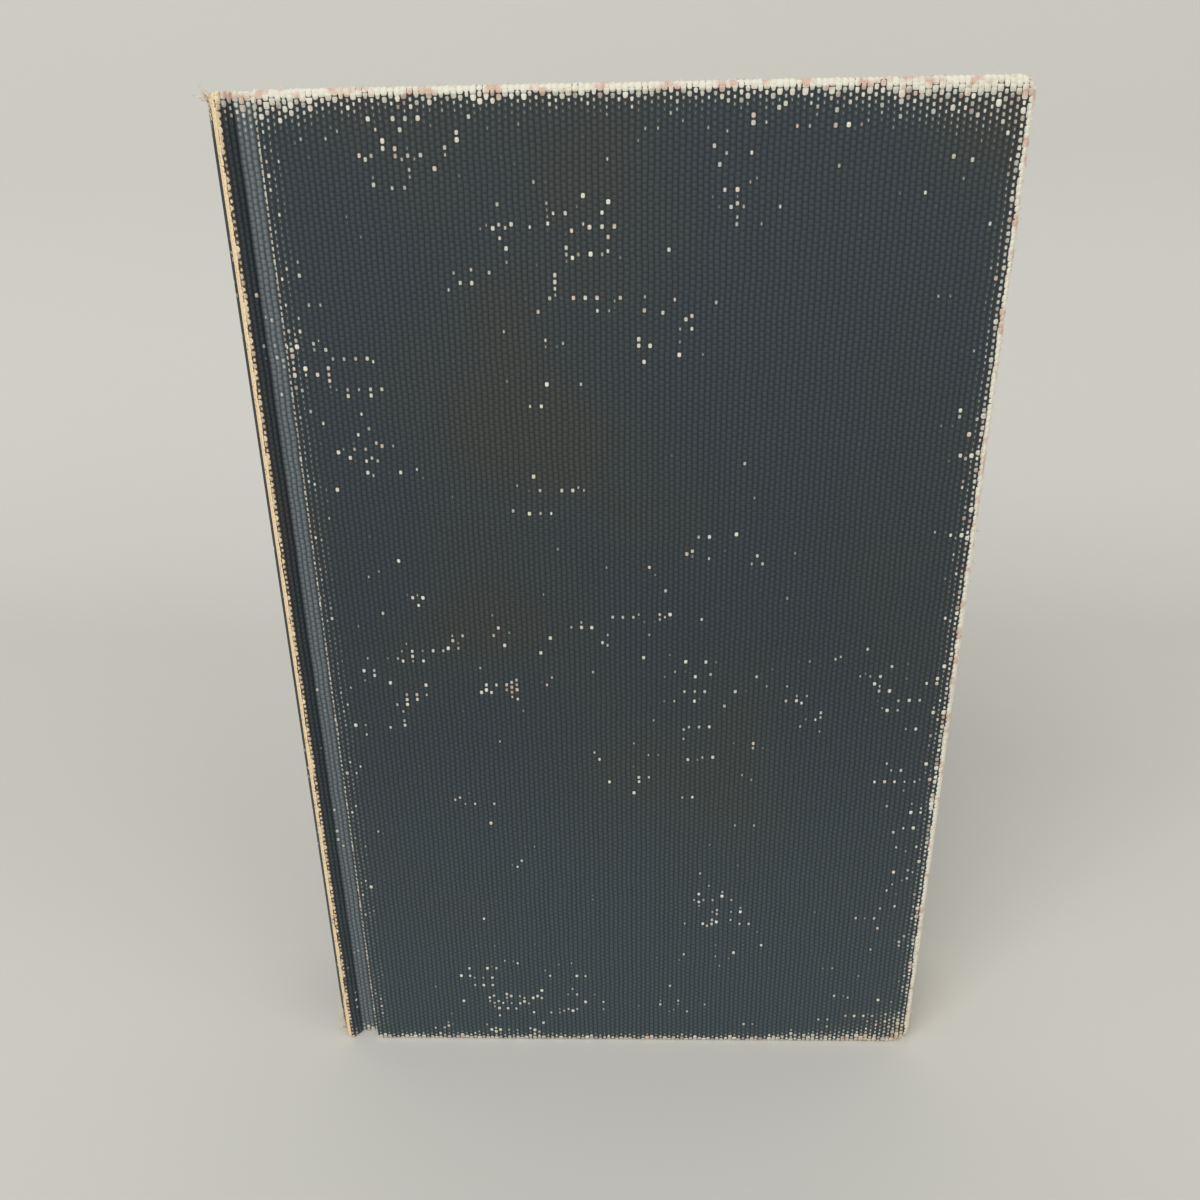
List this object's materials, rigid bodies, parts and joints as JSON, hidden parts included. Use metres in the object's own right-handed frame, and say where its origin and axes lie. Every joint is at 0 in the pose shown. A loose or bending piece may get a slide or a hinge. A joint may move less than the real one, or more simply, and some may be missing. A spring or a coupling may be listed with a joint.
{
  "type": "hardback book",
  "caption": "Worn case-bound hardback book in dark ribbed cloth, with a rounded spine, grooved joints and covers that open; it stands closed on its tail edge.",
  "frame": {"origin": "on the ground plane, under the middle of the closed book's bounding box", "axes": "+Z from tail to head of the book, +X from spine to fore-edge, +Y from the front cover to the back cover"},
  "size_m": [0.134, 0.03, 0.197],
  "materials": {
    "book_cloth": "matte",
    "binders_board": "matte",
    "leaf_paper": "matte",
    "endpaper": "matte",
    "lining_paper": "matte",
    "mull_gauze": "matte",
    "linen_thread": "matte"
  },
  "bodies": {
    "text_block_and_spine": {"text_block": "leaf_paper", "sewing_thread": "linen_thread", "mull": "mull_gauze", "spine_lining": "lining_paper", "spine_inlay": "lining_paper", "spine_cloth": "book_cloth", "front_flyleaf": "endpaper", "back_flyleaf": "endpaper"},
    "front_cover": {"front_board": "binders_board", "front_cover_cloth": "book_cloth", "front_mull_wing": "mull_gauze", "front_pastedown": "endpaper"},
    "back_cover": {"back_board": "binders_board", "back_cover_cloth": "book_cloth", "back_mull_wing": "mull_gauze", "back_pastedown": "endpaper"}
  },
  "joints": [
    {"name": "front_cover_hinge", "type": "hinge", "parent": "text_block_and_spine", "child": "front_cover", "pos_m": [-0.059, -0.0152, 0.0985], "axis": [0, 0, -1], "range_deg": [0, 178]},
    {"name": "back_cover_hinge", "type": "hinge", "parent": "text_block_and_spine", "child": "back_cover", "pos_m": [-0.059, 0.0152, 0.0985], "axis": [0, 0, 1], "range_deg": [0, 178]}
  ]
}
